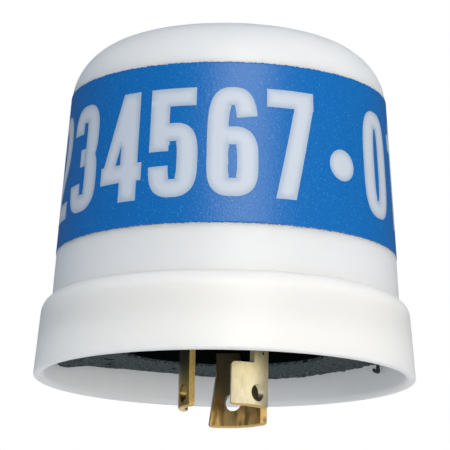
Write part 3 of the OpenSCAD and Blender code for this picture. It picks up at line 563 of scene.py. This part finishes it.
def make_cover():
    """The cap: its half section turned about the axis, with four snap beads on the skirt's inner wall.

    A bead is a five-cornered section carried a short way round the axis, with its back sunk in the wall."""
    cap = lathe("cover_cap", cover_path())
    low, top, catch = skirt_inner_r(BEAD_LOW), skirt_inner_r(BEAD_TOP), BASE_R - BEAD_CATCH
    r = np.array([low, low + BEAD_SINK, top + BEAD_SINK, catch, catch])
    z = np.array([BEAD_LOW, BEAD_LOW, BEAD_TOP, BEAD_TOP, BEAD_TOP - BEAD_LEAD])
    steps, sides = 15, len(r)
    a = np.radians(np.linspace(-BEAD_REACH, BEAD_REACH, steps))[:, None]
    a = a + np.radians(BEAD_PLACES)[:, None, None]
    faces = []
    for first in range(0, len(BEAD_PLACES) * steps * sides, steps * sides):
        last = first + (steps - 1) * sides
        faces += grid_faces(steps, sides, wrap_cols=True, start=first)
        faces += [list(range(first, first + sides)), list(range(last, last + sides))[::-1]]
    beads = mesh_object("cover_beads", about_axis(r, a, z).reshape(-1, 3), faces, smooth=False)
    for piece in (cap, beads):
        piece.data.materials.append(MATERIALS["polypropylene"])
    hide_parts("cover")


def make_band():
    """The printed field: a thin cone that hugs the drafted wall, with slightly ragged edges."""
    a = around(1440)
    rough = [(37, 0.03, 0.2), (89, 0.03, 1.9), (167, 0.04, 0.7), (263, 0.04, 2.6), (397, 0.04, 1.2)]
    low, high = BAND_LOW + waves(a, rough), BAND_HIGH + waves(a + 1.0, rough)
    z = np.stack([low, low + BAND_LIP, high - BAND_LIP, high, high, low])
    out = np.array([BAND_FACE] * 4 + [BAND_BACK] * 2)[:, None]
    pts = about_axis(body_r(z) + out, a, z)
    faces = grid_faces(len(z), len(a), wrap_rows=True, wrap_cols=True)
    band = mesh_object("band_field", pts.reshape(-1, 3), faces)
    face_out(band)
    band.data.materials.append(MATERIALS["ink_blue"])
    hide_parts("printed_band")


# Numerals, drawn as strokes in a box 10.2 mm wide and 21.2 mm tall, about the box's middle line.
# A stroke is a list of points, an arc (its middle, two radii and the angles that it runs between), or a slant
# with level ends (its middle and height at the top and at the foot, and its level width).
STEM, BAR = 4.2, 3.5
BOX_MIDDLE, BOX_STRETCH = (0, 10.6), (1.04, 1.11)
SQUARISH = 0.62
NUMERALS = {
    "0": [(0, 10.6, 3.0, 8.85, 0, 360)],
    "1": [[(0.8, 0), (0.8, 21.2)], [(1.2, 19.2), (-0.8, 17.4), (-3.4, 16.9)]],
    "2": [(0, 14.6, 3.0, 4.85, 182, -2), [(3.0, 14.4), (2.2, 11.0), (-0.6, 7.2), (-2.4, 4.4), (-2.9, 1.8)],
          [(-5.0, 1.75), (5.0, 1.75)]],
    "3": [(0, 15.1, 2.9, 4.35, 178, -84), [(-1.3, 10.75), (0.6, 10.75)], (0, 6.4, 3.0, 4.65, 84, -178)],
    "4": [[(2.2, 0), (2.2, 21.2)], (1.7, 21.2, -3.5, 5.0, 3.2), [(-5.1, 5.6), (5.3, 5.6)]],
    "5": [[(-5.1, 19.45), (4.6, 19.45)], [(-3.0, 19.5), (-3.0, 9.0)], (0, 7.2, 3.0, 5.45, 152, -176)],
    "6": [(0, 6.75, 3.0, 5.0, 0, 360), (0, 10.6, 3.0, 8.85, 200, 22)],
    "7": [[(-5.1, 19.45), (5.1, 19.45)], (3.0, 18.4, -1.3, 0, 4.2)],
}


def is_slant(stroke):
    """Whether a stroke is a slant with level ends: five numbers, where an arc has six."""
    return isinstance(stroke, tuple) and len(stroke) == 5


def stroke_line(stroke):
    """Points along a stroke: an arc of a squarish oval, a straight bar, or a smooth curve through its points.

    The oval takes the cosine and the sine to a power below 1. The curve is a cubic that passes each point in
    the direction from the point before it to the point after it."""
    straight = np.linspace(0, 1, 13)[:, None]
    if is_slant(stroke):
        return np.array(stroke[:2]) + np.subtract(stroke[2:4], stroke[:2]) * straight
    if isinstance(stroke, tuple):
        x, y, rx, ry, start, end = stroke
        t = np.radians(np.linspace(start, end, 2 + int(abs(end - start) / 4)))
        c, s = np.cos(t), np.sin(t)
        return np.stack([x + rx * np.sign(c) * np.abs(c) ** SQUARISH,
                         y + ry * np.sign(s) * np.abs(s) ** SQUARISH], -1)
    p = np.array(stroke, float)
    if len(p) == 2:
        return p[0] + (p[1] - p[0]) * straight
    q = np.vstack([2 * p[0] - p[1], p, 2 * p[-1] - p[-2]])
    t = np.linspace(0, 1, 9)[:-1, None]
    runs = [0.5 * (2 * b + (c - a) * t + (2 * a - 5 * b + 4 * c - d) * t**2 + (3 * b - a - 3 * c + d) * t**3)
            for a, b, c, d in zip(q, q[1:], q[2:], q[3:])]
    return np.vstack(runs + [p[-1:]])


def stroke_ribbon(stroke):
    """A stroke as a ribbon: points across its line, wider where it runs upright than where it runs level."""
    line, across = stroke_line(stroke), np.linspace(-1, 1, 7)
    if is_slant(stroke):
        return line[:, None, :] + across[None, :, None] * np.array([stroke[4] / 2, 0])
    along = np.gradient(line, axis=0)
    if np.allclose(line[0], line[-1]):
        along[[0, -1]] = along[0] + along[-1]
    along /= np.linalg.norm(along, axis=1)[:, None]
    normal = np.stack([-along[:, 1], along[:, 0]], -1)
    half = np.hypot(normal[:, 0] * STEM, normal[:, 1] * BAR) / 2
    return line[:, None, :] + normal[:, None, :] * (half[:, None] * across)[..., None]


def inside(p, loop):
    """Whether points lie inside a closed loop: an odd number of its edges lie to the right of each."""
    a, b, y = loop, np.roll(loop, -1, 0), p[:, None, 1]
    cross = (a[:, 1] > y) != (b[:, 1] > y)
    rise = np.where(a[:, 1] == b[:, 1], 1, b[:, 1] - a[:, 1])
    x = a[:, 0] + (y - a[:, 1]) * (b[:, 0] - a[:, 0]) / rise
    return (cross & (x > p[:, None, 0])).sum(1) % 2 == 1


def depth_in(ribbons):
    """How far each ribbon's points lie inside the outline that all the ribbons make together.

    The outline is every ribbon's sides, in small steps, less what another ribbon covers."""
    loops = [border(ribbon) for ribbon in ribbons]
    step, outline = np.linspace(0, 1, 6)[:-1, None], []
    for i, ribbon in enumerate(ribbons):
        sides = [ribbon[:, 0], ribbon[:, -1]]
        if not np.allclose(ribbon[0], ribbon[-1]):
            sides += [ribbon[0], ribbon[-1]]
        runs = [s[:-1, None] + (s[1:] - s[:-1])[:, None] * step for s in sides]
        points = np.concatenate([run.reshape(-1, 2) for run in runs])
        covered = [inside(points, loop) for k, loop in enumerate(loops) if k != i]
        outline.append(points[~np.any(covered, axis=0)] if covered else points)
    outline = np.concatenate(outline)
    return [np.linalg.norm(ribbon[:, :, None] - outline, axis=-1).min(-1) for ribbon in ribbons]


def flat_sign(sign):
    """A sign's flat grids about the band's middle, and how far their points lie inside its outline."""
    if sign != "*":
        flats = [(stroke_ribbon(stroke) - BOX_MIDDLE) * BOX_STRETCH for stroke in NUMERALS[sign]]
        return flats, depth_in(flats)
    t, r = around(48), np.linspace(DOT_R, DOT_EYE, 6)[:, None]
    disc = np.stack([r * np.cos(t), r * np.sin(t)], -1) + (0, -DOT_DROP)
    return [disc], [np.broadcast_to(DOT_R - r, disc.shape[:2])]


def make_numerals():
    """Plain counting numerals round the band, as thin ribbons wrapped on the drafted wall, with a round dot.

    Each ribbon is a face a little above the ink and a back closer to it, joined round their border. Each
    later stroke of a sign lies a layer higher, so that no two faces share a place."""
    round_r = body_r(BAND_MIDDLE)
    pitch, dot_x = 2 * math.pi / SIGN_COUNT * round_r, math.radians(DOT_BEARING) * round_r
    verts, faces, tones, count = [], [], [], 0
    for place in range(SIGN_COUNT):
        sign = SIGNS[place % len(SIGNS)]
        middle_x = dot_x + (place - SIGNS.index("*")) * pitch
        for layer, (flat, depth) in enumerate(zip(*flat_sign(sign))):
            x, y = middle_x + flat[..., 0], BAND_MIDDLE + flat[..., 1]
            for lift in (SIGN_LIFT + SIGN_LAYER * layer, SIGN_BACK):
                verts.append(on_band(x, y, lift).reshape(-1, 3))
                tones.append(depth.reshape(-1))
            rows, cols = depth.shape
            size, closed = rows * cols, sign == "*"
            faces += grid_faces(rows, cols, wrap_cols=closed, start=count)
            faces += [quad[::-1] for quad in grid_faces(rows, cols, wrap_cols=closed, start=count + size)]
            order = count + np.arange(size).reshape(rows, cols)
            rim = order[0] if closed else border(order)
            following = np.roll(rim, -1)
            faces += np.stack([rim, rim + size, following + size, following], -1).tolist()
            count += 2 * size
    numerals = mesh_object("band_numerals", np.vstack(verts), faces, smooth=False)
    numerals.data.attributes.new("inward", "FLOAT", "POINT").data.foreach_set("value", np.concatenate(tones))
    face_out(numerals)
    numerals.data.materials.append(MATERIALS["bare_wall"])


def foam_ring(turns=720):
    """The foam's ring as a grid: a soft-sided section carried round, with wandering edges and a drooping rim.

    The section runs out along the underside, up the rim, back along the top and down the hole. The way out u
    and the way up both go from 0 to 1. The droop grows with the sixth power of u, so only the rim has it.
    Fine teeth on the rim are fullest near the nib, where the sheet is torn."""
    a = around(turns)
    rim = FOAM_R + waves(a, [(2, 0.22, 0.4), (5, 0.14, 1.1), (13, 0.10, 2.0), (29, 0.07, 0.3),
                             (61, 0.06, 1.7), (97, 0.05, 2.9), (151, 0.05, 0.8)])
    hole = FOAM_HOLE + waves(a, [(3, 0.10, 0.9), (9, 0.07, 2.1), (31, 0.05, 0.2)])
    teeth = waves(a, [(41, 0.07, 1.4), (79, 0.07, 0.6), (107, 0.06, 2.4), (163, 0.05, 0.9)])
    sag = sum(far * bell(a, bearing, width) for far, bearing, width in FOAM_SAGS)
    torn = 0.2 + 0.8 * bell(a, 30, 40)
    droop = 0.1 - sag + waves(a, [(7, 0.08, 0.5), (19, 0.05, 2.2)]) + torn * teeth
    across, rise = np.linspace(0, 1, 25)[:-1], np.linspace(0, 1, 6)[:-1]
    u = np.concatenate([across, 0 * rise + 1, 1 - across, 0 * rise])
    up = np.concatenate([0 * across, rise, 0 * across + 1, 1 - rise])
    a, rim, hole, droop = a[:, None], rim[:, None], hole[:, None], droop[:, None]
    uneven = 0.05 * np.sin(9 * a) * np.sin(14 * u)
    under = FOAM_LOW + droop * u**6 + uneven
    z = under + (FOAM_TOP - under) * up
    swell = np.sin(math.pi * up) * FOAM_SWELL * (np.abs(u - 0.5) > 0.499)
    r = hole + (rim - hole) * u + np.where(u > 0.5, swell, -swell)
    return about_axis(r, a, z)


def foam_nib(steps=21, sides=12):
    """A torn nib at the foam's rim as a grid: an oval section carried down, and then along the rim.

    The drop takes the first half of the way and the curl the second. The section swells on the way down and
    thins in the first part of the curl."""
    s = np.linspace(0, 1, steps)
    drop, curl = np.minimum(s / 0.5, 1), np.clip(s / 0.5 - 1, 0, 1)
    line = np.stack([NIB_CURL * curl, NIB_START - NIB_DROP * drop + NIB_LIFT * curl**3], -1)
    along = np.gradient(line, axis=0)
    along /= np.linalg.norm(along, axis=1)[:, None]
    thick = NIB_ROOT + (NIB_BELLY - NIB_ROOT) * drop - (NIB_BELLY - NIB_TAIL) * np.minimum(2.5 * curl, 1)
    b, rim_r = around(sides), 37.0
    wide, deep = thick[:, None] * np.cos(b), thick[:, None] * np.sin(b)
    a = math.radians(NIB_BEARING) + (line[:, :1] - along[:, 1:] * wide) / rim_r
    r = NIB_R + NIB_LEAN * s[:, None] + NIB_FLATNESS * deep
    return about_axis(r, a, line[:, 1:] + along[:, :1] * wide)


def make_gasket():
    """The foam gasket: its ring, and a nib with both ends closed."""
    ring, nib = foam_ring(), foam_nib()
    steps, sides = nib.shape[:2]
    first = ring.size // 3
    last = first + (steps - 1) * sides
    faces = grid_faces(*ring.shape[:2], wrap_rows=True, wrap_cols=True)
    faces += grid_faces(steps, sides, wrap_cols=True, start=first)
    faces += [list(range(first, first + sides)), list(range(last, last + sides))[::-1]]
    gasket = mesh_object("gasket_foam", np.vstack([ring.reshape(-1, 3), nib.reshape(-1, 3)]), faces)
    face_out(gasket)
    gasket.data.materials.append(MATERIALS["foam"])
    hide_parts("gasket")


# The round on a blade's edges in millimetres, and the angles in degrees from which edges are rounded or split
EDGE_ROUND, ROUND_ANGLE, SPLIT_ANGLE = 0.2, 40, 32


def dress_cad():
    """Gives every CAD node its material, joins its loose triangles, and shades it smooth up to real edges.

    The blades get the small round that stamping leaves on an edge instead of a split there."""
    for name, look in CAD_LOOKS.items():
        node = NODES[name]
        node.data.materials.clear()
        node.data.materials.append(MATERIALS[look])
        node.data.polygons.foreach_set("use_smooth", [True] * len(node.data.polygons))
        weld = node.modifiers.new("weld", "WELD")
        weld.merge_threshold = 1e-6
        if name.endswith("_blade"):
            bevel = node.modifiers.new("edges", "BEVEL")
            bevel.width, bevel.segments = EDGE_ROUND * MM, 3
            bevel.limit_method, bevel.angle_limit = "ANGLE", math.radians(ROUND_ANGLE)
            even = node.modifiers.new("even", "WEIGHTED_NORMAL")
            even.mode, even.weight = "FACE_AREA", 100
            continue
        split = node.modifiers.new("split", "EDGE_SPLIT")
        split.split_angle = math.radians(SPLIT_ANGLE)


# The scene

# Lamps: bearing and height in degrees, width and height in metres, watts, and colour
LAMPS = {
    "key": (15, 28, (0.75, 0.7), 9.4, "#fffcf8"),
    "low": (58, -8, (2.1, 0.18), 6.8, "#fffcf8"),
    "left": (-62, -12, (1.2, 0.4), 2.1, "#e4f0ff"),
    "behind": (180, -16, (1.2, 0.3), 0.9, "#fffcf8"),
}
LAMP_FAR, LAMP_AIM = 1.2, (0, 0, 0.03)
FLOOR_Z, FLOOR_HALF = -1.25, 8


def make_camera():
    """A long lens from below the rim, close to the way the picture was taken."""
    turn, pitch, roll = math.radians(4.4), math.radians(12.332), math.radians(0.894)
    far, low = 0.535787, -0.089638
    ahead = np.array([-math.sin(turn) * math.cos(pitch), math.cos(turn) * math.cos(pitch), math.sin(pitch)])
    right = np.array([math.cos(turn), math.sin(turn), 0])
    up = np.array([math.sin(turn) * math.sin(pitch), -math.cos(turn) * math.sin(pitch), math.cos(pitch)])
    right, up = math.cos(roll) * right + math.sin(roll) * up, math.cos(roll) * up - math.sin(roll) * right
    spot = np.array([math.sin(turn) * far, -math.cos(turn) * far, low])
    data = bpy.data.cameras.new("camera")
    data.lens, data.sensor_width, data.shift_x = 200.589, 36.0, -0.00417
    data.clip_start, data.clip_end = 0.01, 20
    camera = bpy.data.objects.new("camera", data)
    camera.matrix_world = Matrix(np.stack([right, up, -ahead, spot], -1).tolist() + [[0, 0, 0, 1]])
    bpy.context.scene.collection.objects.link(camera)
    bpy.context.scene.camera = camera


def make_light(name, bearing, height, size, watts, tone):
    """A soft box of a width and height at a bearing from the object, facing it."""
    a, e = math.radians(bearing), math.radians(height)
    data = bpy.data.lights.new(name, "AREA")
    data.shape, data.size, data.size_y, data.energy = "RECTANGLE", size[0], size[1], watts
    data.color = linear(tone)[:3]
    lamp = bpy.data.objects.new(name, data)
    way = np.array([math.sin(a) * math.cos(e), -math.cos(a) * math.cos(e), math.sin(e)])
    side = np.cross([0, 0, 1], way)
    side /= np.linalg.norm(side)
    rows = np.stack([side, np.cross(way, side), way, LAMP_AIM + LAMP_FAR * way], -1).tolist()
    lamp.matrix_world = Matrix(rows + [[0, 0, 0, 1]])
    bpy.context.scene.collection.objects.link(lamp)


def make_floor():
    """A pale floor well below the object: one square sheet."""
    floor = bpy.data.meshes.new("floor")
    corners = [(x * FLOOR_HALF, y * FLOOR_HALF, FLOOR_Z) for x, y in ((-1, -1), (1, -1), (1, 1), (-1, 1))]
    floor.from_pydata(corners, [], [(0, 1, 2, 3)])
    piece = bpy.data.objects.new("floor", floor)
    bpy.context.scene.collection.objects.link(piece)
    floor.materials.append(paper_white())


def make_room():
    """A room that is white to the eye, a dimmer and bluer light on the object, and dimmer still in sheens."""
    world = bpy.data.worlds.new("room")
    world.use_nodes = True
    tree = world.node_tree
    tree.nodes.clear()
    path = add(tree, "LightPath").outputs
    seen, mirrored = path["Is Camera Ray"], path["Is Glossy Ray"]
    level = add(tree, "MapRange", SMOOTH, Value=seen, To_Min=0.48, To_Max=1.0)
    dimmed = add(tree, "MapRange", SMOOTH, Value=mirrored, To_Min=0.0, To_Max=-0.36)
    strength = add(tree, "Math", PLUS, _0=level, _1=dimmed)
    tone = add(tree, "Mix", COLOUR, Factor=seen, A=linear("#dcecff"), B=linear("#ffffff"))
    add(tree, "OutputWorld", Surface=add(tree, "Background", Color=tone, Strength=strength))
    bpy.context.scene.world = world


make_cover()
make_band()
make_numerals()
make_gasket()
dress_cad()
make_camera()
make_floor()
make_room()
for lamp_name, lamp in LAMPS.items():
    make_light(lamp_name, *lamp)
bpy.context.scene.view_settings.view_transform = "Standard"
